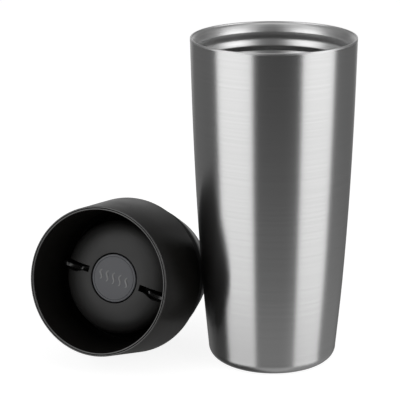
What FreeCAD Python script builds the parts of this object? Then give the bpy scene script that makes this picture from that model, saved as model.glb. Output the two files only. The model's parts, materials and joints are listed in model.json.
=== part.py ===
"""Insulated travel mug, standing open, with its push-button drinking lid lying beside it.

Millimetres and degrees. The mug stands on z = 0 with its axis on +Z, and the origin is the centre of its
base. Every lid piece is drawn upright in the lid's own frame: its z = 0 is the plane that rests on the
mug's lip, +z points out of the drinking rim, and +x runs along the dome's two slots. One placement lays
that frame down beside the mug.
"""
import FreeCAD, Part
import math
import os
import re

import Sketcher

SIZES = {
    # mug, outside
    "mug_height": 167.5,
    "lip_radius": 41.4,
    "waist_radius": 38.7,
    "foot_radius": 32.7,
    "foot_top_radius": 32.95,
    "foot_corner": 5.6,
    "foot_arc_across": 0.25,
    "foot_arc_up": 0.27,
    "wall_diagonal": 0.7,
    "outer_wall_thick": 0.8,
    "lip_band": 1.0,
    # mug, inside
    "vessel_thick": 0.7,
    "lip_round": 0.35,
    "lip_edge": 0.05,
    "flare_depth": 4.6,
    "mouth_radius": 37.8,
    "mouth_land": 3.5,
    "bead_root": 0.2,
    "bead_radius": 36.9,
    "bead_depth": 11.3,
    "bead_pitch": 5.6,
    "bead_half": 2.3,
    "neck_step": 0.4,
    "neck_depth": 20.5,
    "shoulder_depth": 31.0,
    "shoulder_radius": 34.9,
    "vessel_mid_radius": 32.9,
    "vessel_low_radius": 28.2,
    "vessel_low_height": 22.0,
    "vessel_floor": 13.0,
    "floor_corner": 9.0,
    "floor_arc_in": 2.3,
    "floor_arc_down": 6.1,
    # mug, base
    "stand_inner_radius": 24.0,
    "base_recess": 1.8,
    "base_thick": 0.8,
    "dimple_radius": 7.0,
    "dimple_rise": 2.0,
    "dimple_slope": 2.0,
    "vent_radius": 1.0,
    "pellet_radius": 2.6,
    "pellet_depth": 1.0,
    "pellet_arc_across": 0.75,
    "pellet_arc_depth": 0.7,
    "cap_radius": 22.8,
    "cap_thick": 0.5,
    "getter_radius": 4.0,
    "getter_thick": 1.6,
    "getter_offset": 15.0,
    # lid, skirt and bowl
    "lid_height": 36.8,
    "skirt_low_radius": 40.65,
    "skirt_top_radius": 37.8,
    "skirt_wall": 1.35,
    "rim_wall": 0.75,
    "rim_round": 0.3,
    "weld_height": 30.0,
    "weld_land": 3.0,
    "bowl_low_radius": 34.9,
    "bowl_low_height": 6.0,
    "bowl_arc_in": 0.4,
    "bowl_arc_down": 2.6,
    "bowl_wall": 1.2,
    # lid, collar
    "flange_thick": 1.6,
    "collar_radius": 36.2,
    "passage_radius": 33.4,
    "groove_top": -8.8,
    "groove_low": -12.6,
    "groove_radius": 35.0,
    "taper_top": -16.0,
    "collar_low": -29.2,
    "collar_low_radius": 32.3,
    "seat_radius": 29.7,
    "seal_lip": 37.4,
    "seal_lip_drop": 0.9,
    "seal_lip_flat": 0.3,
    "seal_lip_pitch": 1.8,
    "seal_waist": 0.4,
    # lid, dome and hub
    "dome_radius": 29.46,
    "dome_edge": 10.5,
    "dome_top": 17.6,
    "dome_flat_radius": 16.0,
    "dome_mid_radius": 24.5,
    "dome_mid_height": 16.0,
    "dome_wall": 1.6,
    "dome_inner_across": 0.55,
    "dome_inner_down": 0.85,
    "dome_edge_round": 0.6,
    "dome_edge_step": 0.2,
    "button_hole": 12.95,
    "hub_radius": 14.4,
    "hub_top": 11.0,
    "hub_floor": -13.0,
    "hub_floor_thick": 2.0,
    "boss_radius": 7.5,
    "boss_low": -19.0,
    "bush_radius": 5.0,
    "bush_low": -17.0,
    "slot_inner": 14.8,
    "slot_upper": 1.6,
    "slot_lower": 1.8,
    "slot_bulge": 4.3,
    "slot_overrun": 2.0,
    "slot_narrowing": 0.6,
    "slot_straight": 2.0,
    "slot_widening": 0.2,
    "bulge_near": 3.4,
    "bulge_far": 0.5,
    "bulge_step": 0.7,
    "arm_thick": 1.8,
    "arm_offset": 2.4,
    "arm_overlap": 0.6,
    "arm_foot_rise": 4.0,
    "arm_side_gap": 0.2,
    "arm_tip_rise": 10.0,
    "arm_tip_top": 1.4,
    "arm_knob_in": 0.8,
    "arm_knob_rise": 2.8,
    "arm_valley_in": 0.4,
    "arm_valley_rise": 2.6,
    "arm_crest_in": 2.0,
    "arm_crest_drop": 1.2,
    "arm_bend_out": 3.0,
    "arm_bend_rise": 3.0,
    "arm_hub_step": 0.3,
    "arm_hub_rise": 1.0,
    # plunger
    "button_radius": 12.35,
    "button_top": 17.74,
    "button_skin": 2.0,
    "button_skirt": 1.35,
    "button_low": 7.0,
    "button_chamfer": 0.4,
    "crown_rise": 0.25,
    "crown_mid_rise": 0.19,
    "face_radius": 11.2,
    "face_thick": 1.0,
    "stem_radius": 3.0,
    "stem_boss": 5.0,
    "driver_top": 9.0,
    "driver_low": 5.0,
    "driver_radius": 6.4,
    "tooth_height": 0.7,
    "tooth_root": 0.2,
    "tooth_width": 1.0,
    "tooth_inset": 1.0,
    "tooth_margin": 0.6,
    "tooth_count": 8,
    "plate_radius": 31.6,
    "plate_thick": 1.2,
    "plate_top": -30.6,
    "plate_centre_rise": 0.8,
    "plate_boss_top": -25.0,
    "plate_boss_cone": 1.0,
    "valve_seal_inner": 28.5,
    "valve_seal_radius": 31.9,
    "valve_seal_gap": 0.05,
    "valve_seal_slope": 0.3,
    "valve_seal_round": 0.5,
    "valve_seal_shoulder": 0.4,
    "valve_seal_draft": 0.3,
    "screw_radius": 1.5,
    "screw_length": 8.0,
    "screw_head": 5.0,
    "screw_head_thick": 1.8,
    "screw_head_side": 1.2,
    "screw_head_draft": 0.2,
    "screw_head_round": 0.9,
    # indexing cam and spring
    "running_gap": 0.05,
    "sleeve_inner": 8.2,
    "sleeve_outer": 9.8,
    "sleeve_top": 9.2,
    "crown_low": 4.3,
    "crown_inner": 7.0,
    "crown_width": 2.4,
    "rib_root": 0.4,
    "rotor_radius": 6.4,
    "rotor_top": 3.4,
    "rotor_low": 0.0,
    "lug_radius": 7.7,
    "lug_width": 1.8,
    "lug_chamfer": 0.6,
    "lug_count": 4,
    "spring_radius": 5.2,
    "spring_wire": 0.8,
    "spring_pitch": 2.2,
    "spring_foot_gap": 0.02,
    "spring_slack": 0.1,
    "spring_seat_thick": 0.5,
    "spring_seat_radius": 7.6,
    "spring_seat_gap": 0.3,
    "stem_seal_rise": 0.95,
    # lid, where it lies
    "lid_x": -74.65,
    "lid_y": 10.4,
    "lid_turn": -23.5,
    "lid_tilt": 13.25,
    "lid_spin": -11.5,
}

LID_FRAME = (
    "placement(vector(lid_x; lid_y; skirt_low_radius * cos(lid_tilt)); rotation(lid_turn; 0; 90 - lid_tilt))"
    " * placement(vector(0; 0; 0); rotation(lid_spin; 0; 0))"
)

document = FreeCAD.newDocument("travel_mug")
sheet = document.addObject("Spreadsheet::Sheet", "Sizes")
for row, (alias, size) in enumerate(SIZES.items(), start=1):
    sheet.set(f"A{row}", alias)
    sheet.set(f"B{row}", str(size))
    sheet.setAlias(f"B{row}", alias)
document.recompute()

pieces = []


def bound(formula):
    """The formula with each driving dimension's name pointing at its cell."""
    return re.sub(r"[a-z_]+", lambda word: "Sizes." + word[0] if word[0] in SIZES else word[0], formula)


def value(formula):
    return float(sheet.evalExpression(bound(formula)))


def new_piece(kind, name, in_lid):
    piece = document.addObject(kind, name)
    piece.Label = name
    if in_lid:
        piece.setExpression("Placement", bound(LID_FRAME))
    pieces.append(piece)
    return piece


def new_sketch(body, name, role="XZ_Plane"):
    sketch = body.newObject("Sketcher::SketchObject", name)
    plane = next(item for item in body.Origin.OriginFeatures if item.Role == role)
    sketch.AttachmentSupport = (plane, [""])
    sketch.MapMode = "FlatFace"
    return sketch


def pin_point(sketch, curve, end, place):
    """Holds one point of a curve at a place given as two formulas."""
    for direction, formula in zip(("DistanceX", "DistanceY"), place):
        index = sketch.addConstraint(Sketcher.Constraint(direction, -1, 1, curve, end, value(formula)))
        sketch.setExpression(f"Constraints[{index}]", bound(formula))


def draw_outline(sketch, corners):
    """A closed outline. A corner is two formulas; a third item, "arc", makes it a point on an arc."""
    spots = [FreeCAD.Vector(value(c[0]), value(c[1]), 0) for c in corners]
    ends = []
    for i, corner in enumerate(corners):
        following = (i + 1) % len(corners)
        if len(corner) == 3:
            continue
        if len(corners[following]) == 3:
            after = (i + 2) % len(corners)
            shape = Part.Arc(spots[i], spots[following], spots[after])
        else:
            shape = Part.LineSegment(spots[i], spots[following])
        curve = sketch.addGeometry(shape, False)
        start = 1 if sketch.getPoint(curve, 1).isEqual(spots[i], 1e-5) else 2
        ends.append((curve, start, 3 - start))
        pin_point(sketch, curve, start, corner)
        if len(corners[following]) == 3:
            mark = sketch.addGeometry(Part.Point(spots[following]), True)
            pin_point(sketch, mark, 1, corners[following])
            sketch.addConstraint(Sketcher.Constraint("PointOnObject", mark, 1, curve))
    for (curve, _, finish), (other, start, _) in zip(ends, ends[1:] + ends[:1]):
        sketch.addConstraint(Sketcher.Constraint("Coincident", curve, finish, other, start))


def revolve(body, name, corners):
    """Turns an outline of (radius, height) corners a full circle about the body's z axis."""
    sketch = new_sketch(body, name + "_outline")
    draw_outline(sketch, corners)
    turned = body.newObject("PartDesign::Revolution", name + "_turned")
    turned.Profile = (sketch, [""])
    turned.ReferenceAxis = (sketch, ["V_Axis"])
    turned.Angle = 360
    document.recompute()
    return turned


def turned_piece(name, corners, in_lid=True):
    body = new_piece("PartDesign::Body", name, in_lid)
    revolve(body, name, corners)
    return body


def add_pad(body, name, corners, thick, role="XZ_Plane", offset="0"):
    """A symmetric pad of an outline, centred on the plane shifted by offset along its normal."""
    sketch = new_sketch(body, name + "_outline", role)
    sketch.setExpression(".AttachmentOffset.Base.z", bound(offset))
    draw_outline(sketch, corners)
    pad = body.newObject("PartDesign::Pad", name)
    pad.Profile = (sketch, [""])
    pad.SideType = "Symmetric"
    pad.setExpression("Length", bound(thick))
    document.recompute()
    return pad


def repeat_round(body, feature, name, count):
    """Repeats a feature in equal steps round the body's z axis."""
    pattern = body.newObject("PartDesign::PolarPattern", name)
    pattern.Originals = [feature]
    pattern.Axis = (next(item for item in body.Origin.OriginFeatures if item.Role == "Z_Axis"), [""])
    pattern.Angle = 360
    pattern.setExpression("Occurrences", bound(count))
    body.Tip = pattern
    document.recompute()


def cut_slots(body, name, corners):
    """Cuts an outline on the XY plane, and its mirror image, right through the body."""
    before = body.Shape.Volume
    for side in (1, -1):
        sketch = new_sketch(body, f"{name}_{'right' if side == 1 else 'left'}_outline", "XY_Plane")
        draw_outline(sketch, [(f"{side} * ({x})", *rest) for x, *rest in corners])
        pocket = body.newObject("PartDesign::Pocket", f"{name}_{'right' if side == 1 else 'left'}")
        pocket.Profile = (sketch, [""])
        pocket.Type = "ThroughAll"
        pocket.Reversed = True
        document.recompute()
        assert body.Shape.Volume < before, f"{name} cut nothing"
        before = body.Shape.Volume


# ---- mug ----


def make_outer_wall():
    """The tapering outer wall, with its rounded foot and the flat ring that the mug stands on."""
    thick = "outer_wall_thick"
    turned_piece("outer_wall", [
        ("lip_radius", "mug_height - lip_band"),
        ("waist_radius", "mug_height / 2", "arc"),
        ("foot_top_radius", "foot_corner"),
        ("foot_radius - foot_corner * foot_arc_across", "foot_corner * foot_arc_up", "arc"),
        ("foot_radius - foot_corner", "0"),
        ("stand_inner_radius", "0"),
        ("stand_inner_radius", "base_recess + base_thick"),
        (f"stand_inner_radius + {thick}", "base_recess + base_thick"),
        (f"stand_inner_radius + {thick}", thick),
        ("foot_radius - foot_corner", thick),
        (f"foot_radius - foot_corner * foot_arc_across - {thick} * wall_diagonal",
         f"foot_corner * foot_arc_up + {thick} * wall_diagonal", "arc"),
        (f"foot_top_radius - {thick}", "foot_corner"),
        (f"waist_radius - {thick}", "mug_height / 2", "arc"),
        (f"lip_radius - {thick}", "mug_height - lip_band"),
    ], in_lid=False)


def bead(number, out):
    """Three corners of one rolled bead, seen from the surface that stands `out` behind the drinking side."""
    depth = f"(bead_depth + {number} * bead_pitch)"
    return [
        (f"mouth_radius - bead_root + {out}", f"mug_height - {depth} + bead_half"),
        (f"bead_radius + {out}", f"mug_height - {depth}", "arc"),
        (f"mouth_radius - bead_root + {out}", f"mug_height - {depth} - bead_half"),
    ]


def vessel_side(out):
    """The vessel's wall from under the lip to its floor, `out` millimetres behind the drinking side."""
    return [
        (f"mouth_radius + {out}", "mug_height - flare_depth"),
        (f"mouth_radius + {out}", "mug_height - flare_depth - mouth_land"),
        *bead(0, out),
        *bead(1, out),
        (f"mouth_radius - neck_step + {out}", "mug_height - neck_depth"),
        (f"shoulder_radius + {out}", "mug_height - shoulder_depth"),
        (f"vessel_mid_radius + {out}", "mug_height / 2", "arc"),
        (f"vessel_low_radius + {out}", "vessel_low_height"),
        (f"vessel_low_radius - floor_arc_in + {out} * wall_diagonal",
         f"vessel_low_height - floor_arc_down - {out} * wall_diagonal", "arc"),
        ("vessel_low_radius - floor_corner", f"vessel_floor - {out}"),
    ]


def make_inner_vessel():
    """The drinking vessel: rolled lip, flared mouth, two beads for the lid, shoulder, wall and floor."""
    band = "mug_height - lip_band"
    turned_piece("inner_vessel", [
        ("lip_radius - outer_wall_thick", band),
        ("lip_radius", band),
        ("lip_radius - lip_edge", "mug_height - lip_round"),
        ("lip_radius - lip_round", "mug_height", "arc"),
        ("lip_radius - 2 * lip_round + lip_edge", "mug_height - lip_round + lip_edge"),
        *vessel_side("0"),
        ("0", "vessel_floor"),
        ("0", "vessel_floor - vessel_thick"),
        *reversed(vessel_side("vessel_thick")),
    ], in_lid=False)


def make_outer_bottom():
    """The welded bottom disc, dished up in the middle round the evacuation vent."""
    under = "base_recess"
    over = "base_recess + base_thick"
    turned_piece("outer_bottom", [
        ("stand_inner_radius", under),
        ("stand_inner_radius", over),
        ("dimple_radius", over),
        ("dimple_radius - dimple_slope", f"{over} + dimple_rise"),
        ("vent_radius", f"{over} + dimple_rise"),
        ("vent_radius", f"{under} + dimple_rise"),
        ("dimple_radius - dimple_slope", f"{under} + dimple_rise"),
        ("dimple_radius", under),
    ], in_lid=False)


def make_vacuum_pellet():
    """The sealing pellet that was melted over the vent to hold the vacuum."""
    turned_piece("vacuum_pellet", [
        ("0", "base_recess + dimple_rise - pellet_depth"),
        ("pellet_radius * pellet_arc_across", "base_recess + dimple_rise - pellet_arc_depth", "arc"),
        ("pellet_radius", "base_recess + dimple_rise"),
        ("vent_radius", "base_recess + dimple_rise"),
        ("vent_radius", "base_recess + dimple_rise + base_thick"),
        ("0", "base_recess + dimple_rise + base_thick"),
    ], in_lid=False)


def make_base_cap():
    """The thin spun disc glued into the base recess, over the pellet."""
    disc = new_piece("Part::Cylinder", "base_cap", in_lid=False)
    disc.setExpression("Radius", bound("cap_radius"))
    disc.setExpression("Height", bound("cap_thick"))
    disc.setExpression(".Placement.Base.z", bound("base_recess - cap_thick"))


def make_getter():
    """The getter tablet that keeps the vacuum clean, fixed inside the space between the walls."""
    tablet = new_piece("Part::Cylinder", "getter", in_lid=False)
    tablet.setExpression("Radius", bound("getter_radius"))
    tablet.setExpression("Height", bound("getter_thick"))
    tablet.setExpression(".Placement.Base.x", bound("getter_offset"))
    tablet.setExpression(".Placement.Base.z", bound("base_recess + base_thick"))


# ---- lid: the fixed pieces ----


def skirt_inside(height):
    """Radius of the skirt's inner face at a height."""
    low = "(skirt_low_radius - skirt_wall)"
    top = "(skirt_top_radius - rim_wall)"
    return f"{low} + ({top} - {low}) * ({height}) / lid_height"


def make_lid_shell():
    """The conical outer skirt, from the mug's lip up to the drinking rim."""
    turned_piece("lid_shell", [
        ("skirt_low_radius", "0"),
        ("skirt_top_radius", "lid_height - rim_round"),
        ("skirt_top_radius - rim_round", "lid_height"),
        ("skirt_top_radius - rim_wall + rim_round / 2", "lid_height"),
        (skirt_inside("lid_height - rim_round"), "lid_height - rim_round"),
        ("skirt_low_radius - skirt_wall", "0"),
    ])


def make_drinking_bowl():
    """The inner funnel that the drink rises into, welded to the skirt under the rim."""
    rim_inside = "skirt_top_radius - 2 * rim_wall"
    turned_piece("drinking_bowl", [
        (skirt_inside("weld_height"), "weld_height"),
        (skirt_inside("lid_height - rim_round"), "lid_height - rim_round"),
        ("skirt_top_radius - rim_wall - rim_round / 2", "lid_height"),
        (f"{rim_inside} + rim_round", "lid_height"),
        (rim_inside, "lid_height - rim_round"),
        ("bowl_low_radius", "bowl_low_height"),
        ("bowl_low_radius - bowl_arc_in", "bowl_low_height - bowl_arc_down", "arc"),
        ("passage_radius", "flange_thick"),
        ("passage_radius + bowl_wall", "flange_thick"),
        ("bowl_low_radius + bowl_wall", "bowl_low_height"),
        ("bowl_low_radius + 2 * bowl_wall", "weld_height - weld_land"),
    ])


def make_lid_collar():
    """The plug that goes into the mug's mouth, with the seal's groove outside and the drink's way inside."""
    turned_piece("lid_collar", [
        ("passage_radius", "flange_thick"),
        (skirt_inside("flange_thick"), "flange_thick"),
        ("skirt_low_radius - skirt_wall", "0"),
        ("collar_radius", "0"),
        ("collar_radius", "groove_top"),
        ("groove_radius", "groove_top"),
        ("groove_radius", "groove_low"),
        ("collar_radius", "groove_low"),
        ("collar_radius", "taper_top"),
        ("collar_low_radius", "collar_low"),
        ("seat_radius", "collar_low"),
        ("passage_radius", "taper_top"),
    ])


def make_lid_seal():
    """The soft ring in the collar's groove, with two lips that press on the mug's mouth."""
    upper = "groove_top - seal_lip_drop"
    lower = f"{upper} - seal_lip_pitch"
    turned_piece("lid_seal", [
        ("groove_radius", "groove_top"),
        ("collar_radius", "groove_top"),
        ("seal_lip", upper),
        ("seal_lip", f"{upper} - seal_lip_flat"),
        ("collar_radius + seal_waist", f"{upper} - seal_lip_flat - seal_waist"),
        ("seal_lip", lower),
        ("seal_lip", f"{lower} - seal_lip_flat"),
        ("collar_radius", "groove_low"),
        ("groove_radius", "groove_low"),
    ])


def make_dome_cap():
    """The mushroom-shaped cap round the button, over the drink's way, with a slot above each hub arm."""
    body = turned_piece("dome_cap", [
        ("button_hole", "dome_top"),
        ("dome_flat_radius", "dome_top"),
        ("dome_mid_radius", "dome_mid_height", "arc"),
        ("dome_radius", "dome_edge"),
        ("dome_radius - dome_wall / 2", "dome_edge - dome_edge_round", "arc"),
        ("dome_radius - dome_wall", "dome_edge - dome_edge_step"),
        ("dome_mid_radius - dome_wall * dome_inner_across",
         "dome_mid_height - dome_wall * dome_inner_down", "arc"),
        ("dome_flat_radius", "dome_top - dome_wall"),
        ("hub_radius", "dome_top - dome_wall"),
        ("hub_radius", "hub_top"),
        ("button_hole", "hub_top"),
    ])
    cut_slots(body, "slot", [
        ("slot_inner", "slot_upper"),
        ("dome_radius + slot_overrun", "slot_upper - slot_narrowing"),
        ("dome_radius + slot_overrun", "-slot_bulge"),
        ("dome_mid_radius + bulge_far", "-slot_bulge"),
        ("dome_mid_radius - bulge_near", "-slot_bulge + bulge_step", "arc"),
        ("dome_flat_radius + slot_straight", "-slot_lower - slot_widening"),
        ("slot_inner", "-slot_lower"),
    ])


def make_hub():
    """The tube that carries the button and the valve, held in the collar by two arms."""
    body = turned_piece("hub", [
        ("button_hole", "hub_top"),
        ("hub_radius", "hub_top"),
        ("hub_radius", "hub_floor - hub_floor_thick"),
        ("boss_radius", "hub_floor - hub_floor_thick"),
        ("boss_radius", "boss_low"),
        ("bush_radius", "boss_low"),
        ("bush_radius", "hub_floor"),
        ("button_hole", "hub_floor"),
    ])
    for side, name in ((1, "right_arm"), (-1, "left_arm")):
        arm = [
            (f"{side} * (hub_radius - arm_overlap)", "hub_floor + arm_foot_rise"),
            (f"{side} * (passage_radius - arm_side_gap)", "taper_top + arm_tip_rise"),
            (f"{side} * (passage_radius - arm_side_gap)", "flange_thick + arm_tip_top"),
            (f"{side} * (passage_radius - arm_knob_in)", "dome_edge + arm_knob_rise"),
            (f"{side} * (dome_radius - arm_valley_in)", "dome_edge + arm_valley_rise"),
            (f"{side} * (dome_mid_radius - arm_crest_in)", "dome_mid_height - arm_crest_drop"),
            (f"{side} * (dome_flat_radius + arm_bend_out)", "hub_top + arm_bend_rise"),
            (f"{side} * (hub_radius + arm_hub_step)", "hub_top + arm_hub_rise"),
            (f"{side} * (hub_radius + arm_hub_step)", "hub_top"),
            (f"{side} * (hub_radius - arm_overlap)", "hub_top"),
        ]
        add_pad(body, name, arm, "arm_thick", offset="arm_offset")


def make_guide_bush():
    """The low-friction bush that the stem slides in."""
    turned_piece("guide_bush", [
        ("stem_radius + running_gap", "hub_floor"),
        ("bush_radius", "hub_floor"),
        ("bush_radius", "bush_low"),
        ("stem_radius + running_gap", "bush_low"),
    ])


def make_stem_seal():
    """The ring under the bush that keeps the drink out of the cam."""
    ring = new_piece("Part::Torus", "stem_seal", in_lid=True)
    ring.setExpression("Radius1", bound("(stem_radius + running_gap + bush_radius) / 2"))
    ring.setExpression("Radius2", bound("(bush_radius - stem_radius - running_gap) / 2"))
    lift = " * placement(vector(0; 0; boss_low + stem_seal_rise); rotation(0; 0; 0))"
    ring.setExpression("Placement", bound(LID_FRAME + lift))


def make_cam_sleeve():
    """The fixed tube round the rotor. Its crown of ribs turns the rotor's lugs one step at each press."""
    body = turned_piece("cam_sleeve", [
        ("sleeve_inner", "hub_floor"),
        ("sleeve_outer", "hub_floor"),
        ("sleeve_outer", "sleeve_top"),
        ("sleeve_inner", "sleeve_top"),
    ])
    rib = add_pad(body, "crown_rib", [
        ("crown_inner", "crown_low"),
        ("sleeve_inner + rib_root", "crown_low"),
        ("sleeve_inner + rib_root", "sleeve_top"),
        ("crown_inner", "sleeve_top"),
    ], "crown_width")
    repeat_round(body, rib, "crown", "tooth_count")


def make_spring_seat():
    """The washer that the spring stands on."""
    turned_piece("spring_seat", [
        ("stem_radius + spring_seat_gap", "hub_floor"),
        ("spring_seat_radius", "hub_floor"),
        ("spring_seat_radius", "hub_floor + spring_seat_thick"),
        ("stem_radius + spring_seat_gap", "hub_floor + spring_seat_thick"),
    ])


def make_button_spring():
    """The coil spring that lifts the rotor, the button and the valve."""
    body = new_piece("PartDesign::Body", "button_spring", in_lid=True)
    sketch = new_sketch(body, "wire_section")
    low = "hub_floor + spring_seat_thick + spring_wire / 2 + spring_foot_gap"
    wire = sketch.addGeometry(
        Part.Circle(FreeCAD.Vector(value("spring_radius"), value(low), 0), FreeCAD.Vector(0, 0, 1),
                    value("spring_wire / 2")), False)
    pin_point(sketch, wire, 3, ("spring_radius", low))
    index = sketch.addConstraint(Sketcher.Constraint("Radius", wire, value("spring_wire / 2")))
    sketch.setExpression(f"Constraints[{index}]", bound("spring_wire / 2"))
    coil = body.newObject("PartDesign::AdditiveHelix", "coil")
    coil.Profile = (sketch, [""])
    coil.ReferenceAxis = (sketch, ["V_Axis"])
    coil.Mode = "pitch-height-angle"
    coil.setExpression("Pitch", bound("spring_pitch"))
    rise = "rotor_low - hub_floor - spring_seat_thick - spring_wire - spring_slack"
    coil.setExpression("Height", bound(rise))
    document.recompute()


# ---- lid: the plunger and the rotor ----

def make_button():
    """The button's body: a cup with a skirt, a recess for its face and a socket for the stem."""
    under = "button_top - button_skin"
    turned_piece("button", [
        ("0", "button_top - face_thick"),
        ("face_radius", "button_top - face_thick"),
        ("face_radius", "button_top"),
        ("button_radius - button_chamfer", "button_top"),
        ("button_radius", "button_top - button_chamfer"),
        ("button_radius", "button_low"),
        ("button_radius - button_skirt", "button_low"),
        ("button_radius - button_skirt", under),
        ("stem_boss", under),
        ("stem_boss", "driver_top"),
        ("stem_radius", "driver_top"),
        ("stem_radius", under),
        ("0", under),
    ])


def make_button_face():
    """The inlay on top of the button, very slightly crowned."""
    turned_piece("button_face", [
        ("0", "button_top - face_thick"),
        ("0", "button_top + crown_rise"),
        ("face_radius / 2", "button_top + crown_mid_rise", "arc"),
        ("face_radius", "button_top"),
        ("face_radius", "button_top - face_thick"),
    ])


def make_stem():
    """The rod from the button to the valve plate, drilled at its foot for the screw."""
    plate_under = "plate_top - plate_thick"
    turned_piece("stem", [
        ("0", "button_top - button_skin"),
        ("stem_radius", "button_top - button_skin"),
        ("stem_radius", plate_under),
        ("screw_radius", plate_under),
        ("screw_radius", f"{plate_under} + screw_length"),
        ("0", f"{plate_under} + screw_length"),
    ])


def add_teeth(body, base, tip, outer):
    """A ring of small radial teeth between two heights."""
    tooth = add_pad(body, "tooth", [
        ("stem_radius + tooth_inset", base),
        (f"{outer} - tooth_margin", base),
        (f"{outer} - tooth_margin", tip),
        ("stem_radius + tooth_inset", tip),
    ], "tooth_width")
    repeat_round(body, tooth, "teeth", "tooth_count")


def make_cam_driver():
    """The toothed ring on the stem that pushes the rotor."""
    body = turned_piece("cam_driver", [
        ("stem_radius", "driver_low"),
        ("driver_radius", "driver_low"),
        ("driver_radius", "driver_top"),
        ("stem_radius", "driver_top"),
    ])
    add_teeth(body, "driver_low + tooth_root", "driver_low - tooth_height", "driver_radius")


def make_valve_plate():
    """The disc that closes the collar from below, with a raised middle that keeps its seal in place."""
    raised = "plate_top + plate_centre_rise"
    turned_piece("valve_plate", [
        ("stem_radius", "plate_boss_top"),
        ("stem_boss", "plate_boss_top"),
        ("stem_boss + plate_boss_cone", raised),
        ("valve_seal_inner", raised),
        ("valve_seal_inner", "plate_top"),
        ("plate_radius", "plate_top"),
        ("plate_radius", "plate_top - plate_thick"),
        ("stem_radius", "plate_top - plate_thick"),
    ])


def make_valve_seal():
    """The soft ring that the valve plate presses up against the collar's end."""
    top = "collar_low - valve_seal_gap"
    turned_piece("valve_seal", [
        ("valve_seal_inner", "plate_top"),
        ("valve_seal_inner", f"{top} - valve_seal_slope"),
        ("valve_seal_inner + valve_seal_round", top),
        ("valve_seal_radius - valve_seal_round", top),
        ("valve_seal_radius", f"{top} - valve_seal_shoulder"),
        ("valve_seal_radius - valve_seal_draft", "plate_top"),
    ])


def make_valve_screw():
    """The screw that holds the plate on the stem."""
    seat = "plate_top - plate_thick"
    turned_piece("valve_screw", [
        ("0", f"{seat} + screw_length"),
        ("screw_radius", f"{seat} + screw_length"),
        ("screw_radius", seat),
        ("screw_head", seat),
        ("screw_head - screw_head_draft", f"{seat} - screw_head_side"),
        ("screw_head - screw_head_round", f"{seat} - screw_head_thick"),
        ("0", f"{seat} - screw_head_thick"),
    ])


def make_cam_rotor():
    """The ring that turns one step at each press, with lugs that ride under the crown."""
    body = turned_piece("cam_rotor", [
        ("stem_radius + running_gap", "rotor_low"),
        ("rotor_radius", "rotor_low"),
        ("rotor_radius", "rotor_top"),
        ("stem_radius + running_gap", "rotor_top"),
    ])
    lug = add_pad(body, "lug", [
        ("rotor_radius - rib_root", "rotor_low"),
        ("lug_radius", "rotor_low"),
        ("lug_radius", "rotor_top - lug_chamfer"),
        ("rotor_radius - rib_root", "rotor_top"),
    ], "lug_width")
    repeat_round(body, lug, "lugs", "lug_count")


def check_document():
    """Stops if anything failed to build."""
    document.recompute()
    for item in document.Objects:
        bad = [state for state in item.State if state in ("Invalid", "Error")]
        assert not bad, f"{item.Label}: {item.State}"
    for piece in pieces:
        shape = piece.Shape
        assert not shape.isNull() and shape.isValid() and shape.Solids, f"{piece.Label} is not a valid solid"


def export_pieces():
    os.makedirs("parts", exist_ok=True)
    for piece in pieces:
        piece.Shape.exportStep(os.path.join("parts", piece.Label + ".step"))


make_outer_wall()
make_inner_vessel()
make_outer_bottom()
make_vacuum_pellet()
make_base_cap()
make_getter()

make_lid_shell()
make_drinking_bowl()
make_lid_collar()
make_lid_seal()
make_dome_cap()
make_hub()
make_guide_bush()
make_stem_seal()
make_cam_sleeve()
make_spring_seat()
make_button_spring()

make_button()
make_button_face()
make_stem()
make_cam_driver()
make_valve_plate()
make_valve_seal()
make_valve_screw()
make_cam_rotor()

check_document()
export_pieces()
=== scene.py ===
"""Looks of the insulated travel mug and its push-button lid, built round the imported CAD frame. Metres."""
import json
import math

import bmesh
import bpy
from mathutils import Matrix, Vector


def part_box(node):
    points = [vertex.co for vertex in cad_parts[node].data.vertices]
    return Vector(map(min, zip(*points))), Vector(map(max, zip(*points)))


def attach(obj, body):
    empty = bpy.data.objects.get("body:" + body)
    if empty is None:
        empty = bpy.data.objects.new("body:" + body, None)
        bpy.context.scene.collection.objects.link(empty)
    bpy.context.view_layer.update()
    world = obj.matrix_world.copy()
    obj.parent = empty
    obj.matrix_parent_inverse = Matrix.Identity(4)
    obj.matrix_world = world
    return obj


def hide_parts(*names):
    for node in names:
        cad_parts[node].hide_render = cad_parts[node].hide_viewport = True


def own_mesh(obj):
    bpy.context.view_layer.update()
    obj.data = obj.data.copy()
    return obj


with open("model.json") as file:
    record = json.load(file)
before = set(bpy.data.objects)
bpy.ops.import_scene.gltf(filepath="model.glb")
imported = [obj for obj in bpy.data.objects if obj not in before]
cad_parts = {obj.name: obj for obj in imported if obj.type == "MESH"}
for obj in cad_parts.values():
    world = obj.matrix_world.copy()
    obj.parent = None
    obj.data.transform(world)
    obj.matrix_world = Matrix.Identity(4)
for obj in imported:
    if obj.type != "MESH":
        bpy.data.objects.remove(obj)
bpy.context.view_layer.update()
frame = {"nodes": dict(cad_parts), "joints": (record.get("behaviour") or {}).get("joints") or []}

MM = 0.001

# ---- places and sizes, read from the frame ----

MUG_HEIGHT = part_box("inner_vessel")[1][2]
LIP_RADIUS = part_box("outer_wall")[1][0]

PRESS = next(joint for joint in frame["joints"] if joint["name"] == "button_press")
INDEX = next(joint for joint in frame["joints"] if joint["name"] == "cam_index")
LID_AXIS = -Vector(PRESS["axis"]).normalized()
ROTOR_MIDDLE = 1.7 * MM           # height of the rotor's middle over the lid's seating plane
LID_ORIGIN = Vector(INDEX["pos_m"]) - ROTOR_MIDDLE * LID_AXIS
SLOT_TURN = math.radians(-11.5)   # the slots' line, from level, about the lid's axis


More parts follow.
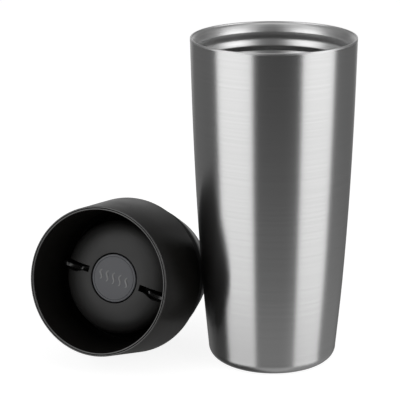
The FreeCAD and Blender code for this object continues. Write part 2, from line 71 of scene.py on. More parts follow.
def lid_matrix():
    """The lid's own frame: z out of the drinking rim, x along the slots."""
    across = Vector((0, 0, 1)).cross(LID_AXIS).normalized()
    up = LID_AXIS.cross(across)
    upright = Matrix((across, up, LID_AXIS)).transposed().to_4x4()
    return Matrix.Translation(LID_ORIGIN) @ upright @ Matrix.Rotation(SLOT_TURN, 4, "Z")


LID = lid_matrix()

# ---- mesh helpers ----


def rounded(corners, steps=6):
    """An outline of (radius, height, fillet) corners in millimetres, with each fillet drawn as an arc."""
    points = []
    count = len(corners)
    for i, (r, z, fillet) in enumerate(corners):
        here = Vector((r, z))
        if fillet <= 0:
            points.append(here)
            continue
        before = Vector(corners[i - 1][:2]) - here
        after = Vector(corners[(i + 1) % count][:2]) - here
        half = before.angle(after) / 2
        back = min(fillet / math.tan(half), 0.48 * before.length, 0.48 * after.length)
        radius = back * math.tan(half)
        start = here + before.normalized() * back
        finish = here + after.normalized() * back
        centre = here + (before.normalized() + after.normalized()).normalized() * radius / math.sin(half)
        for step in range(steps + 1):
            mixed = start.lerp(finish, step / steps) - centre
            points.append(centre + mixed.normalized() * radius)
    return points


def curve_through(points, steps):
    """A smooth line (Catmull-Rom) through (radius, height) points, with the end points kept."""
    line = []
    last = len(points) - 1
    for i in range(last):
        a, b = points[max(i - 1, 0)], points[i]
        c, d = points[i + 1], points[min(i + 2, last)]
        for step in range(steps):
            t = step / steps
            line.append(tuple(0.5 * (2 * q + (s - p) * t + (2 * p - 5 * q + 4 * s - u) * t * t
                                     + (3 * q - p - 3 * s + u) * t ** 3) for p, q, s, u in zip(a, b, c, d)))
    line.append(tuple(points[last]))
    return line


def finish_mesh(name, mesh, matrix=None, smooth_angle=35):
    """Makes the mesh an object, moves its vertices into the row frame and shades it smooth."""
    if matrix is not None:
        mesh.transform(matrix)
    mesh.validate()
    for face in mesh.polygons:
        face.use_smooth = True
    mesh.set_sharp_from_angle(angle=math.radians(smooth_angle))
    piece = bpy.data.objects.new(name, mesh)
    bpy.context.scene.collection.objects.link(piece)
    return piece


def lathe(name, outline, matrix=None, segments=256, smooth_angle=35):
    """Turns a closed outline of (radius, height) points in millimetres about z. Radius 0 makes a pole."""
    work = bmesh.new()
    rings = []
    for r, z in outline:
        if r < 1e-4:
            rings.append([work.verts.new((0, 0, z * MM))])
            continue
        ring = []
        for step in range(segments):
            angle = 2 * math.pi * step / segments
            ring.append(work.verts.new((r * MM * math.cos(angle), r * MM * math.sin(angle), z * MM)))
        rings.append(ring)
    for low, high in zip(rings, rings[1:] + rings[:1]):
        if len(low) == 1 and len(high) == 1:
            continue
        for step in range(segments):
            following = (step + 1) % segments
            corners = [low[step % len(low)], low[following % len(low)],
                       high[following % len(high)], high[step % len(high)]]
            unique = list(dict.fromkeys(corners))
            work.faces.new(unique)
    bmesh.ops.recalc_face_normals(work, faces=work.faces)
    mesh = bpy.data.meshes.new(name)
    work.to_mesh(mesh)
    work.free()
    return finish_mesh(name, mesh, matrix, smooth_angle)


def stand_for(piece, body, material, slot, *nodes):
    """Gives a piece its material, hangs it on its body and hides the CAD nodes that it stands for. The slot
    is not used.
    """
    piece.data.materials.append(material)
    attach(piece, body)
    if nodes:
        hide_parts(*nodes)


# ---- materials ----


class Nodes:
    """A small helper that adds and joins shader nodes."""

    def __init__(self, name):
        self.material = bpy.data.materials.new(name)
        self.material.use_nodes = True
        self.tree = self.material.node_tree
        self.shader = self.tree.nodes["Principled BSDF"]

    def add(self, kind, **settings):
        node = self.tree.nodes.new(kind)
        for key, setting in settings.items():
            setattr(node, key, setting)
        return node

    def join(self, start, finish):
        self.tree.links.new(start, finish)

    def place(self, scale):
        """Object coordinates, stretched by scale along each axis."""
        coordinates = self.add("ShaderNodeTexCoord")
        mapping = self.add("ShaderNodeMapping")
        mapping.inputs["Scale"].default_value = scale
        self.join(coordinates.outputs["Object"], mapping.inputs["Vector"])
        return mapping.outputs["Vector"]

    def noise(self, scale, detail=3.0, roughness=0.55):
        """Fractal noise with this many cells in a metre along each axis."""
        noise = self.add("ShaderNodeTexNoise")
        noise.inputs["Scale"].default_value = 1.0
        noise.inputs["Detail"].default_value = detail
        noise.inputs["Roughness"].default_value = roughness
        self.join(self.place(scale), noise.inputs["Vector"])
        return noise.outputs["Fac"]

    def span(self, factor, low, high, start=0.3, finish=0.7):
        """The factor, mapped from start..finish to low..high."""
        reach = self.add("ShaderNodeMapRange")
        for socket, number in zip(("From Min", "From Max", "To Min", "To Max"), (start, finish, low, high)):
            reach.inputs[socket].default_value = number
        self.join(factor, reach.inputs["Value"])
        return reach.outputs["Result"]

    def tint(self, factor, dark, light):
        """The factor, turned into a colour between dark and light."""
        ramp = self.add("ShaderNodeValToRGB")
        ramp.color_ramp.elements[0].position = 0.3
        ramp.color_ramp.elements[1].position = 0.7
        ramp.color_ramp.elements[0].color = (*dark, 1)
        ramp.color_ramp.elements[1].color = (*light, 1)
        self.join(factor, ramp.inputs["Fac"])
        return ramp.outputs["Color"]

    def bump(self, height, distance, strength):
        bump = self.add("ShaderNodeBump")
        bump.inputs["Distance"].default_value = distance
        bump.inputs["Strength"].default_value = strength
        self.join(height, bump.inputs["Height"])
        return bump.outputs["Normal"]

    def set(self, **numbers):
        """Numbers that are the same all over, set on the shader's own sockets."""
        for name, number in numbers.items():
            self.shader.inputs[name.replace("_", " ")].default_value = number

    def feed(self, **sockets):
        """Outputs of other nodes, joined to the shader's sockets."""
        for name, output in sockets.items():
            self.join(output, self.shader.inputs[name.replace("_", " ")])


def grain(value):
    """The same number three times: a grey, or an even scale."""
    return (value, value, value)


def brushed_steel(name, dark, light, rough, streak=800.0, anisotropic=0.75):
    """Steel brushed round the mug: fine level lines, and highlights stretched along the mug's axis."""
    made = Nodes(name)
    fine = made.noise((4.0, 4.0, streak), detail=2.0)
    made.feed(Base_Color=made.tint(fine, dark, light),
              Roughness=made.span(fine, rough - 0.003, rough + 0.003))
    made.set(Metallic=1.0, Anisotropic=anisotropic, Anisotropic_Rotation=0.25)
    tangent = made.add("ShaderNodeTangent", direction_type="RADIAL", axis="Z")
    made.feed(Tangent=tangent.outputs["Tangent"])
    return made.material


def satin_steel(name, dark, light, rough):
    """Blasted or spun satin steel, with a fine even grain."""
    made = Nodes(name)
    fine = made.noise(grain(5200.0), detail=2.0)
    broad = made.noise((60.0, 60.0, 900.0), detail=3.0)
    made.feed(Base_Color=made.tint(broad, dark, light),
              Roughness=made.span(fine, rough - 0.03, rough + 0.04),
              Normal=made.bump(fine, 0.000006, 0.35))
    made.set(Metallic=1.0)
    return made.material


def moulded_plastic(name, dark, light, rough, spark=1800.0, depth=0.000012, index=1.5):
    """Moulded plastic: a fine spark-eroded grain, slow changes of gloss and faint scuffs."""
    made = Nodes(name)
    fine = made.noise(grain(spark), detail=3.0)
    slow = made.noise(grain(55.0), detail=4.0)
    scuff = made.noise((420.0, 60.0, 160.0), detail=6.0, roughness=0.7)
    gloss = made.add("ShaderNodeMath", operation="ADD")
    made.join(made.span(slow, rough - 0.04, rough + 0.04), gloss.inputs[0])
    made.join(made.span(scuff, 0.0, 0.07, 0.6, 0.8), gloss.inputs[1])
    made.feed(Base_Color=made.tint(slow, dark, light), Roughness=gloss.outputs["Value"],
              Normal=made.bump(fine, depth, 0.6))
    made.set(IOR=index)
    return made.material


def soft_silicone(name):
    """Dark silicone: soft sheen, fine dust-like grain."""
    made = Nodes(name)
    fine = made.noise(grain(2600.0), detail=3.0)
    slow = made.noise(grain(120.0), detail=3.0)
    made.feed(Base_Color=made.tint(slow, grain(0.014), grain(0.024)),
              Roughness=made.span(fine, 0.5, 0.66),
              Normal=made.bump(fine, 0.00001, 0.5))
    made.set(Sheen_Weight=0.15)
    return made.material


STEEL = brushed_steel("mug_brushed_steel", grain(0.6), grain(0.636), 0.27)
INSIDE = satin_steel("mug_satin_steel", grain(0.62), grain(0.74), 0.36)
BOTTOM = brushed_steel("base_spun_steel", grain(0.55), grain(0.66), 0.24, streak=900.0, anisotropic=0.4)
SHELL = moulded_plastic("shell_black", (0.0052, 0.0048, 0.0043), (0.0078, 0.0073, 0.0065), 0.36, index=1.24)
# The rim's black is glossier than the shell's and lighter in colour. The lighter colour is a painted
# highlight for the rim's edge lines.
RIM_PAINTED_HIGHLIGHT = moulded_plastic("rim_black_painted_highlight", (0.0085, 0.0080, 0.0074), (0.0120, 0.0114, 0.0104), 0.2, index=1.8)
DOME = moulded_plastic("dome_black", (0.0120, 0.0117, 0.0113), (0.0155, 0.0151, 0.0145), 0.48, index=1.5)
PLUG = moulded_plastic("plug_black", grain(0.010), grain(0.014), 0.36)
GLOSS = moulded_plastic("arm_black", grain(0.006), grain(0.009), 0.26, depth=0.000003, index=1.7)
GREY = moulded_plastic("button_grey", (0.078, 0.08, 0.088), (0.092, 0.094, 0.102), 0.46, spark=3000.0)
MARK = moulded_plastic("motif_grey", (0.2, 0.2, 0.202), (0.24, 0.24, 0.242), 0.5, spark=3000.0)
SILICONE = soft_silicone("silicone_black")
BUSH = moulded_plastic("bush_white", grain(0.62), grain(0.7), 0.35)
DRAWN = satin_steel("drawn_steel", grain(0.5), grain(0.62), 0.22)
PELLET = moulded_plastic("solder_glass", grain(0.2), grain(0.3), 0.12)
GETTER = moulded_plastic("sintered_grey", grain(0.1), grain(0.2), 0.8, spark=1500.0, depth=0.00004)

# ---- mug ----

# Sizes of the mug in millimetres, as radii and heights over the surface it stands on.
HEIGHT = MUG_HEIGHT / MM
LIP = LIP_RADIUS / MM
LIP_BAND = 1.0         # height of the rolled lip over the end of the outer wall
LIP_ROLL = 0.45        # radius of the rolled lip
WALL = 0.8             # thickness of the outer wall
VESSEL_WALL = 0.7      # thickness of the inner vessel
FOOT = 32.95
FOOT_CORNER = 5.6
STAND = 24.0           # inner radius of the ring that the mug stands on
FLOOR_CORNER = 9.0     # radius of the rounded edge of the vessel's floor
FLOOR_EDGE = 19.2      # radius at which the vessel's floor begins to rise
FLOOR = 13.0
OUTER_SIDE = curve_through([(FOOT, FOOT_CORNER), (36.17, 0.2515 * HEIGHT), (38.7, 0.5 * HEIGHT),
                            (40.37, 0.7485 * HEIGHT), (LIP, HEIGHT - LIP_BAND)], 14)


def quarter_foot(shrink):
    """The rounded foot, from the standing ring up to the wall."""
    centre = (FOOT - FOOT_CORNER, FOOT_CORNER)
    points = []
    for step in range(13):
        angle = -math.pi / 2 + math.pi / 2 * step / 12
        reach = FOOT_CORNER - shrink
        points.append((centre[0] + reach * math.cos(angle), centre[1] + reach * math.sin(angle)))
    return points


def make_outer_wall():
    """Outer wall: foot ring, rounded foot and the long convex taper to the lip band."""
    outside = quarter_foot(0.0) + OUTER_SIDE[1:]
    inside = [(r - WALL, z) for r, z in reversed(OUTER_SIDE[1:])] + list(reversed(quarter_foot(WALL)))
    ring = [(STAND + WALL, WALL), (STAND + WALL, 2.6), (STAND, 2.6), (STAND, 0.35), (STAND + 0.35, 0.0)]
    piece = lathe("outer_wall_skin", outside + inside + ring, segments=384)
    stand_for(piece, "mug", STEEL, "brushed_steel", "outer_wall")


def vessel_wall(out):
    """Half outline of the vessel, from the foot of the flare to the middle of its floor."""
    waves = [(37.65, 4.9), (37.72, 6.2), (37.92, 7.6), (38.02, 8.5), (37.92, 9.2), (37.55, 10.2),
             (37.15, 11.2), (36.95, 12.0), (37.1, 12.7), (37.5, 13.6), (37.78, 14.4), (37.72, 15.0),
             (37.4, 15.9), (37.0, 16.9), (36.85, 17.7), (37.0, 18.5), (37.2, 19.4)]
    neck = [(37.2, 20.5), (36.5, 24.5), (34.9, 31.0)]
    down = [(34.35, 115.0), (32.9, 83.5), (30.75, 50.0), (28.2, 22.0)]
    upper = [(r + out, HEIGHT - depth) for r, depth in waves + neck]
    lower = [(r + out, z) for r, z in down]
    line = curve_through(upper + lower, 5)
    reach = FLOOR_CORNER + out
    corner = []
    for step in range(1, 10):
        angle = math.pi / 2 * step / 9
        corner.append((FLOOR_EDGE + reach * math.cos(angle), FLOOR + FLOOR_CORNER - reach * math.sin(angle)))
    return line + corner + [(0.0, FLOOR - out)]


def make_inner_vessel():
    """Inner vessel: rolled lip over the wall's edge, flare, two rolled beads, shoulder and floor."""
    lip = []
    for step in range(13):
        angle = math.pi * step / 12
        lip.append((LIP - LIP_ROLL * (1 - math.cos(angle)), HEIGHT - LIP_ROLL * (1 - math.sin(angle))))
    flare = curve_through([(LIP - 0.92, HEIGHT - 0.6), (LIP - 1.7, HEIGHT - 1.3), (39.0, HEIGHT - 2.3),
                           (38.3, HEIGHT - 3.5), (37.78, HEIGHT - 4.6)], 6)
    inside = vessel_wall(0.0)
    outside = list(reversed(vessel_wall(VESSEL_WALL)))
    back = [(38.9, HEIGHT - 3.6), (39.6, HEIGHT - 2.3), (LIP - 0.85, HEIGHT - 1.3)]
    outline = [(LIP, HEIGHT - LIP_BAND)] + lip + flare + inside + outside + back
    piece = lathe("inner_vessel_skin", outline, segments=384, smooth_angle=50)
    stand_for(piece, "mug", INSIDE, "satin_steel", "inner_vessel")


def make_base_cap():
    """The thin spun disc in the base recess, with a raised rim and shallow turned rings."""
    low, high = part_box("base_cap")
    radius, under, over = high[0] / MM, low[2] / MM, high[2] / MM
    rings = []
    for step in range(33):
        r = (radius - 1.2) * (1 - step / 32)
        rings.append((max(r, 0.0), under + 0.12 + 0.05 * math.cos(r * 1.6)))
    edge = [(radius, over - 0.02), (radius, under + 0.2), (radius - 0.2, under), (radius - 0.9, under)]
    outline = edge + rings
    piece = lathe("base_cap_skin", outline + [(0.0, over - 0.02)], segments=192)
    stand_for(piece, "mug", BOTTOM, "brushed_steel", "base_cap")


# ---- lid: fixed pieces ----

# Sizes of the lid in millimetres, as radii and heights over the plane that rests on the mug's lip.
RIM = 36.8


def skirt_inside(z):
    """Radius of the skirt's inside face at a height."""
    return 39.3 - 2.25 * z / RIM


def shine_rim(piece):
    """Gives the faces of the drinking rim a glossier finish and a lighter black. The lighter black is a
    painted highlight for the rim's edge lines.
    """
    piece.data.materials.append(RIM_PAINTED_HIGHLIGHT)
    to_lid = LID.inverted()
    for face in piece.data.polygons:
        if (to_lid @ face.center).z > (RIM - 0.6) * MM:
            face.material_index = 1


def make_lid_shell():
    """The outer skirt, with a softly rounded rim edge and a rounded lower edge."""
    outline = rounded([(40.65, 0.0, 0.25), (37.85, RIM, 0.5), (37.14, RIM, 0.22), (39.3, 0.0, 0.2)])
    piece = lathe("lid_shell_skin", outline, LID, segments=320)
    stand_for(piece, "lid", SHELL, "black_shell", "lid_shell")
    shine_rim(piece)


def make_drinking_bowl():
    """The funnel inside the rim. A fine groove shows where it is welded to the skirt."""
    gap = 0.2
    outline = rounded([
        (skirt_inside(30.0) - gap, 30.0, 0.1), (skirt_inside(RIM) - gap, RIM, 0.2), (36.1, RIM, 0.45),
        (34.9, 6.0, 4.0), (33.4, 1.6, 0.2), (34.6, 1.6, 0.2), (36.1, 6.0, 2.0), (37.3, 27.0, 1.0)])
    piece = lathe("drinking_bowl_skin", outline, LID, segments=320)
    stand_for(piece, "lid", SHELL, "black_shell", "drinking_bowl")
    shine_rim(piece)


def make_collar():
    """The plug, with its seal groove and tapered end, and the two-lipped seal in the groove."""
    collar = lathe("lid_collar_skin", rounded([
        (33.4, 1.6, 0.2), (39.15, 1.6, 0.2), (39.25, 0.0, 0.2), (36.2, 0.0, 0.5), (36.2, -8.8, 0.25),
        (35.0, -8.8, 0.15), (35.0, -12.6, 0.15), (36.2, -12.6, 0.25), (36.2, -16.0, 1.5),
        (32.3, -29.2, 0.4), (29.7, -29.2, 0.3), (33.4, -16.0, 1.0)]), LID, segments=288)
    stand_for(collar, "lid", PLUG, "black_plug", "lid_collar")
    seal = lathe("lid_seal_skin", rounded([
        (35.0, -8.85, 0.0), (36.15, -8.85, 0.2), (37.4, -9.8, 0.16), (36.6, -10.55, 0.35),
        (37.4, -11.65, 0.16), (36.15, -12.55, 0.2), (35.0, -12.55, 0.0)]), LID, segments=288)
    stand_for(seal, "lid", SILICONE, "black_silicone", "lid_seal")


def dome_outline():
    """The mushroom cap: nearly flat by the button, a soft shoulder, then a roll down to its edge."""
    top = curve_through([(13.25, 17.6), (15.0, 17.62), (17.4, 17.5), (20.2, 17.12), (23.1, 16.5),
                         (25.7, 15.55), (27.8, 14.2), (29.1, 12.2)], 5)
    edge = [(29.35, 10.3), (29.4, 10.0), (28.9, 9.85), (28.2, 10.0)]
    under = curve_through([(27.6, 10.5), (25.2, 12.6), (22.2, 14.4), (19.0, 15.5), (14.5, 15.9)], 4)
    return [(12.95, 17.3), (13.05, 17.52)] + top + edge + under + [(14.4, 15.8), (14.4, 11.0), (12.95, 11.0)]


def slot_outline(side):
    """One slot seen along the lid's axis: square inner end, straight upper edge, bulging lower edge."""
    upper = [(14.8, 1.6), (31.5, 1.0)]
    lower = curve_through([(31.5, -4.3), (25.0, -4.25), (22.6, -3.95), (20.4, -3.05), (18.0, -2.0),
                           (14.8, -1.8)], 4)
    points = upper + lower
    return [(side * x, y) for x, y in points]


def prism(name, points, low, high):
    """A straight prism of an outline between two heights, in millimetres."""
    work = bmesh.new()
    floor = [work.verts.new((x * MM, y * MM, low * MM)) for x, y in points]
    face = work.faces.new(floor)
    raised = bmesh.ops.extrude_face_region(work, geom=[face])
    verts = [item for item in raised["geom"] if isinstance(item, bmesh.types.BMVert)]
    bmesh.ops.translate(work, verts=verts, vec=(0, 0, (high - low) * MM))
    bmesh.ops.recalc_face_normals(work, faces=work.faces)
    mesh = bpy.data.meshes.new(name)
    work.to_mesh(mesh)
    work.free()
    piece = bpy.data.objects.new(name, mesh)
    bpy.context.scene.collection.objects.link(piece)
    return piece


def applied(piece):
    """The piece with its modifiers turned into plain mesh."""
    view_layer = bpy.context.view_layer
    view_layer.update()
    mesh = bpy.data.meshes.new_from_object(piece.evaluated_get(bpy.context.evaluated_depsgraph_get()))
    piece.modifiers.clear()
    piece.data = mesh
    return piece


def make_dome():
    """The dome, with both slots cut and their edges rounded."""
    piece = lathe("dome_skin", dome_outline(), segments=256)
    cutters = []
    for side in (1, -1):
        cutter = prism(f"slot_cutter_{side}", slot_outline(side), 5.0, 20.0)
        cut = piece.modifiers.new(f"slot_{side}", "BOOLEAN")
        cut.operation = "DIFFERENCE"
        cut.solver = "EXACT"
        cut.object = cutter
        cutters.append(cutter)
    bevel = piece.modifiers.new("soft_edges", "BEVEL")
    bevel.width = 0.45 * MM
    bevel.segments = 3
    bevel.limit_method = "ANGLE"
    bevel.angle_limit = math.radians(50)
    applied(piece)
    for cutter in cutters:
        bpy.data.objects.remove(cutter)
    mesh = piece.data
    mesh.transform(LID)
    for face in mesh.polygons:
        face.use_smooth = True
    mesh.set_sharp_from_angle(angle=math.radians(40))
    stand_for(piece, "lid", DOME, "black_dome", "dome_cap")


def arm_section(top, low, middle, half):
    """One cross-section of an arm, as (y, z) points: a flat web with a rounded, slightly crowned top."""
    corner = 0.6 * half
    points = [(middle - half, low), (middle + half, low)]
    for step in range(7):
        angle = math.pi / 2 * step / 6
        points.append((middle + half - corner + corner * math.cos(angle),
                       top - corner + corner * math.sin(angle)))
    points.append((middle, top + 0.06))
    for step in range(7):
        angle = math.pi / 2 + math.pi / 2 * step / 6
        points.append((middle - half + corner + corner * math.cos(angle),
                       top - corner + corner * math.sin(angle)))
    return points


ARM_START = 14.6       # distance of an arm's inner end from the lid's axis
ARM_REACH = 18.4
ARM_UNDER = -9.0       # height of an arm's underside at its inner end
ARM_UNDER_RISE = 3.0


def make_arm(side):
    """One arm: it climbs from the hub, crests, falls away outwards, and ends in an upturned knob."""
    word = "right" if side == 1 else "left"
    tops = curve_through([(14.6, 11.7), (16.5, 12.85), (18.2, 13.9), (19.4, 14.55), (20.3, 14.6),
                          (21.4, 14.2), (23.0, 13.5), (25.0, 12.9), (26.8, 12.7), (28.2, 12.85),
                          (29.4, 13.15), (30.4, 13.2), (31.2, 12.8), (32.0, 12.0), (32.95, 10.6)], 3)
    sides = curve_through([(14.6, -0.2, 1.5), (17.0, -0.7, 1.4), (19.0, -1.4, 1.35), (21.0, -2.1, 1.4),
                           (23.0, -2.5, 1.5), (25.0, -2.65, 1.4), (28.0, -2.6, 1.3), (30.0, -2.5, 1.4),
                           (31.4, -2.4, 1.45), (32.95, -2.4, 0.9)], 6)
    work = bmesh.new()
    rings = []
    for x, top in tops:
        _, middle, half = min(sides, key=lambda row: abs(row[0] - x))
        low = ARM_UNDER + ARM_UNDER_RISE * (x - ARM_START) / ARM_REACH
        section = arm_section(top, low, middle, half)
        rings.append([work.verts.new((side * x * MM, y * MM, z * MM)) for y, z in section])
    count = len(rings[0])
    for near, far in zip(rings, rings[1:]):
        for step in range(count):
            following = (step + 1) % count
            work.faces.new((near[step], near[following], far[following], far[step]))
    work.faces.new(rings[0])
    work.faces.new(list(reversed(rings[-1])))
    bmesh.ops.recalc_face_normals(work, faces=work.faces)
    mesh = bpy.data.meshes.new(f"hub_arm_{word}")
    work.to_mesh(mesh)
    work.free()
    return finish_mesh(f"hub_arm_{word}", mesh, LID, 50)


def make_hub():
    """The hub's tube and floor, and its two glossy arms."""
    tube = lathe("hub_tube", rounded([
        (12.95, 11.0, 0.1), (14.35, 11.0, 0.15), (14.35, -15.0, 1.2), (7.5, -15.0, 0.6), (7.5, -19.0, 0.5),
        (5.0, -19.0, 0.2), (5.0, -13.0, 0.1), (12.95, -13.0, 0.8)]), LID, segments=160)
    arms = [make_arm(1), make_arm(-1)]
    stand_for(tube, "lid", GLOSS, "black_gloss", "hub")
    for arm in arms:
        stand_for(arm, "lid", GLOSS, "black_gloss")


# ---- lid: plunger ----

BUTTON_TOP = 17.74


def make_button():
    """The button's ring and skirt, with its inlaid face."""
    ring = lathe("button_skin", rounded([
        (0.0, 16.72, 0.0), (11.2, 16.72, 0.05), (11.2, BUTTON_TOP - 0.04, 0.12),
        (12.35, BUTTON_TOP - 0.12, 0.42), (12.35, 7.0, 0.25), (11.0, 7.0, 0.25), (11.0, 15.74, 0.8),
        (5.0, 15.74, 0.5), (5.0, 9.0, 0.2), (3.05, 9.0, 0.1),
        (3.05, 15.74, 0.0), (0.0, 15.74, 0.0)]), LID, segments=192)
    stand_for(ring, "plunger", GREY, "grey_button", "button")
    crown = []
    for step in range(1, 11):
        outward = 1 - step / 10
        crown.append((11.13 * outward, BUTTON_TOP + 0.05 + 0.2 * (1 - outward ** 2)))
    face = lathe("button_face_skin", [(0.0, 16.74), (11.13, 16.74), (11.13, BUTTON_TOP - 0.14),
                                      (11.03, BUTTON_TOP - 0.02)] + crown, LID, segments=192)
    stand_for(face, "plunger", GREY, "grey_button", "button_face")


def make_motif():
    """Five raised wisps of steam in a row: a plain decoration across the middle of the button."""
    for number in range(5):
        middle = 3.7 * (number - 2)
        reach = 2.6 + 0.5 * math.cos(math.pi * (number - 2) / 4)
        curve = bpy.data.curves.new(f"motif_wisp_{number}", "CURVE")
        curve.dimensions = "3D"
        curve.bevel_depth = 0.62 * MM
        curve.bevel_resolution = 3
        curve.use_fill_caps = True
        line = curve.splines.new("NURBS")
        count = 13
        line.points.add(count - 1)
        for i in range(count):
            t = i / (count - 1)
            x = middle + 0.75 * math.sin(2 * math.pi * t)
            y = reach * (2 * t - 1)
            distance = math.hypot(x, y) / 11.2
            z = BUTTON_TOP + 0.05 + 0.2 * (1 - distance ** 2) - 0.3
            spot = LID @ Vector((x * MM, y * MM, z * MM))
            line.points[i].co = (*spot, 1)
            line.points[i].radius = 0.6 + 0.5 * math.sin(math.pi * t)
        line.order_u = 4
        line.use_endpoint_u = True
        holder = bpy.data.objects.new(f"motif_curve_{number}", curve)
        bpy.context.scene.collection.objects.link(holder)
        bpy.context.view_layer.update()
        mesh = bpy.data.meshes.new_from_object(holder.evaluated_get(bpy.context.evaluated_depsgraph_get()))
        bpy.data.objects.remove(holder)
        piece = finish_mesh(f"motif_wisp_{number}", mesh, smooth_angle=60)
        stand_for(piece, "plunger", MARK, "grey_button")


def make_valve():
    """The valve plate, its underside hollowed between hub and rim, and the seal on it."""
    plate = lathe("valve_plate_skin", rounded([
        (3.05, -25.0, 0.1), (5.0, -25.0, 0.4), (6.0, -29.8, 0.8), (28.45, -29.8, 0.2), (28.45, -30.6, 0.05),
        (31.6, -30.6, 0.25), (31.6, -31.8, 0.35), (27.0, -31.8, 0.3), (26.2, -31.1, 0.3), (8.5, -31.1, 0.4),
        (7.5, -31.8, 0.3), (3.05, -31.8, 0.1)]), LID, segments=256)
    stand_for(plate, "plunger", PLUG, "black_plug", "valve_plate")
    seal = lathe("valve_seal_skin", rounded([
        (28.5, -30.58, 0.05), (28.5, -29.3, 0.3), (31.9, -29.3, 0.45), (31.6, -30.58, 0.1)]),
        LID, segments=256)
    stand_for(seal, "plunger", SILICONE, "black_silicone", "valve_seal")


def make_screw():
    """The pan-head screw, with a cross recess pressed into its head."""
    seat = -31.8
    head = 5.0
    piece = lathe("valve_screw_skin", rounded([
        (0.0, seat + 8.0, 0.0), (1.5, seat + 8.0, 0.3), (1.5, seat, 0.0), (head, seat, 0.15),
        (head - 0.1, seat - 1.1, 0.4), (head - 0.9, seat - 1.8, 0.5), (0.0, seat - 1.85, 0.0)]), segments=96)
    cutters = []
    for number in range(2):
        angle = math.pi / 2 * number
        turn = Matrix.Rotation(angle, 4, "Z")
        corners = [turn @ Vector(c) for c in ((-2.6, -0.5, 0), (2.6, -0.5, 0), (2.6, 0.5, 0), (-2.6, 0.5, 0))]
        cutter = prism(f"recess_{number}", [(c.x, c.y) for c in corners], seat - 3.0, seat - 0.8)
        cut = piece.modifiers.new(f"recess_{number}", "BOOLEAN")
        cut.operation = "DIFFERENCE"
        cut.solver = "EXACT"
        cut.object = cutter
        cutters.append(cutter)
    applied(piece)
    for cutter in cutters:
        bpy.data.objects.remove(cutter)
    piece.data.transform(LID)
    for face in piece.data.polygons:
        face.use_smooth = True
    piece.data.set_sharp_from_angle(angle=math.radians(35))
    stand_for(piece, "plunger", DRAWN, "spring_steel", "valve_screw")


# The spring: heights over the lid's seating plane, radii and rises, in millimetres.
SPRING_LOW = -12.48
SPRING_HIGH = -0.08
SPRING_RADIUS = 5.2
SPRING_WIRE = 0.4      # radius of the wire
SPRING_TURNS = 6
END_TURN_RISE = 0.85


def spring_rise(turn):
    """Height of the wire's centre over its start: close at both ends and open between them."""
    total = SPRING_HIGH - SPRING_LOW - 2 * SPRING_WIRE
    if turn < 1:
        return END_TURN_RISE * turn
    if turn > SPRING_TURNS - 1:
        return total - END_TURN_RISE * (SPRING_TURNS - turn)
    return END_TURN_RISE + (total - 2 * END_TURN_RISE) * (turn - 1) / (SPRING_TURNS - 2)


def make_button_spring():
    """The coil spring under the rotor, drawn at one length; the real one shortens as the button goes down."""
    steps = 48
    sides = 14
    nudge = 0.02
    work = bmesh.new()
    rings = []
    for i in range(steps * SPRING_TURNS + 1):
        turn = i / steps
        angle = 2 * math.pi * turn
        outward = Vector((math.cos(angle), math.sin(angle), 0))
        along = Vector((-math.sin(angle), math.cos(angle), 0))
        height = SPRING_LOW + SPRING_WIRE + spring_rise(turn)
        climb = spring_rise(min(turn + nudge, SPRING_TURNS)) - spring_rise(max(turn - nudge, 0))
        slope = climb / (2 * nudge)
        along = (along + Vector((0, 0, slope / (2 * math.pi * SPRING_RADIUS)))).normalized()
        upward = outward.cross(along)
        ring = []
        for side in range(sides):
            lean = 2 * math.pi * side / sides
            spot = (outward * (SPRING_RADIUS + SPRING_WIRE * math.cos(lean))
                    + upward * SPRING_WIRE * math.sin(lean))
            ring.append(work.verts.new((spot.x * MM, spot.y * MM, (spot.z + height) * MM)))
        rings.append(ring)
    for near, far in zip(rings, rings[1:]):
        for side in range(sides):
            following = (side + 1) % sides
            work.faces.new((near[side], near[following], far[following], far[side]))
    work.faces.new(rings[0])
    work.faces.new(list(reversed(rings[-1])))
    bmesh.ops.recalc_face_normals(work, faces=work.faces)
    mesh = bpy.data.meshes.new("button_spring_coil")
    work.to_mesh(mesh)
    work.free()
    piece = finish_mesh("button_spring_coil", mesh, LID, 50)
    stand_for(piece, "lid", DRAWN, "spring_steel", "button_spring")
    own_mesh(piece)


# ---- CAD nodes that stay ----

KEPT = {
    "outer_bottom": INSIDE, "vacuum_pellet": PELLET, "getter": GETTER, "guide_bush": BUSH,
    "stem_seal": SILICONE, "cam_sleeve": BUSH, "spring_seat": DRAWN, "stem": DRAWN, "cam_driver": BUSH,
    "cam_rotor": BUSH,
}


def dress_kept_nodes():
    """Gives each CAD node that is still shown its material."""
    for name, material in KEPT.items():
        node = frame["nodes"][name]
        node.data.materials.clear()
        node.data.materials.append(material)


# ---- stage, light and camera ----


def make_floor():
    """A wide pale floor. Glossy rays pass it, so that steel mirrors the studio and not the floor."""
    mesh = bpy.data.meshes.new("floor")
    reach = 6.0
    mesh.from_pydata([(-reach, -reach, 0), (reach, -reach, 0), (reach, reach, 0), (-reach, reach, 0)], [],
                     [(0, 1, 2, 3)])
    floor = bpy.data.objects.new("floor", mesh)
    bpy.context.scene.collection.objects.link(floor)
    made = Nodes("floor_white")
    slow = made.noise(grain(3.0), detail=1.0)
    made.feed(Base_Color=made.tint(slow, grain(0.34), grain(0.36)))
    made.set(Roughness=0.9, Specular_IOR_Level=0.0, Emission_Color=(1, 1, 1, 1), Emission_Strength=0.88)
    mesh.materials.append(made.material)
    floor.visible_glossy = False


